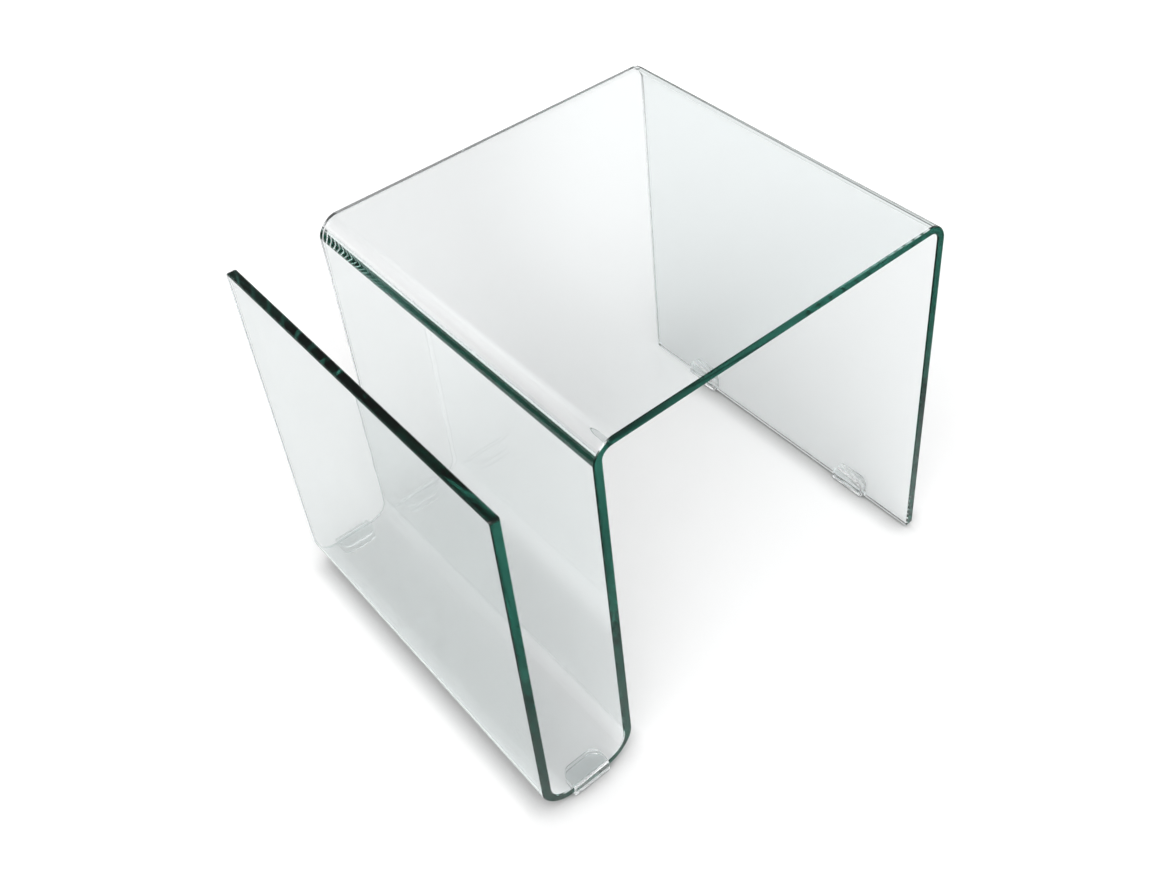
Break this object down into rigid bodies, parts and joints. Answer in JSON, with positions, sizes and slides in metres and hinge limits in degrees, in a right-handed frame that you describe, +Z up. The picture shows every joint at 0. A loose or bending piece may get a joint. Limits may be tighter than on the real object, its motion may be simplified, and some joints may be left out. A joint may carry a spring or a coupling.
{
  "type": "magazine rack side table",
  "caption": "Low side table with a magazine pocket at one side, bent from a single sheet of clear glass and standing on clear push-on clips.",
  "frame": {"origin": "on the floor, under the middle of the whole table with its clips", "axes": "+Z up, +X from the magazine pocket towards the leg, Y along the bends, with the pictured open edge at -Y"},
  "size_m": [0.5232, 0.4266, 0.426],
  "materials": {
    "glass": "clear float glass, hot bent, with polished edges and ground arrises",
    "clip": "clear plastic, slightly cloudy"
  },
  "bodies": {
    "root": {"bent_glass_sheet": "glass", "leg_clip_front": "clip", "leg_clip_rear": "clip", "pocket_clip_front": "clip", "pocket_clip_rear": "clip"}
  },
  "joints": []
}
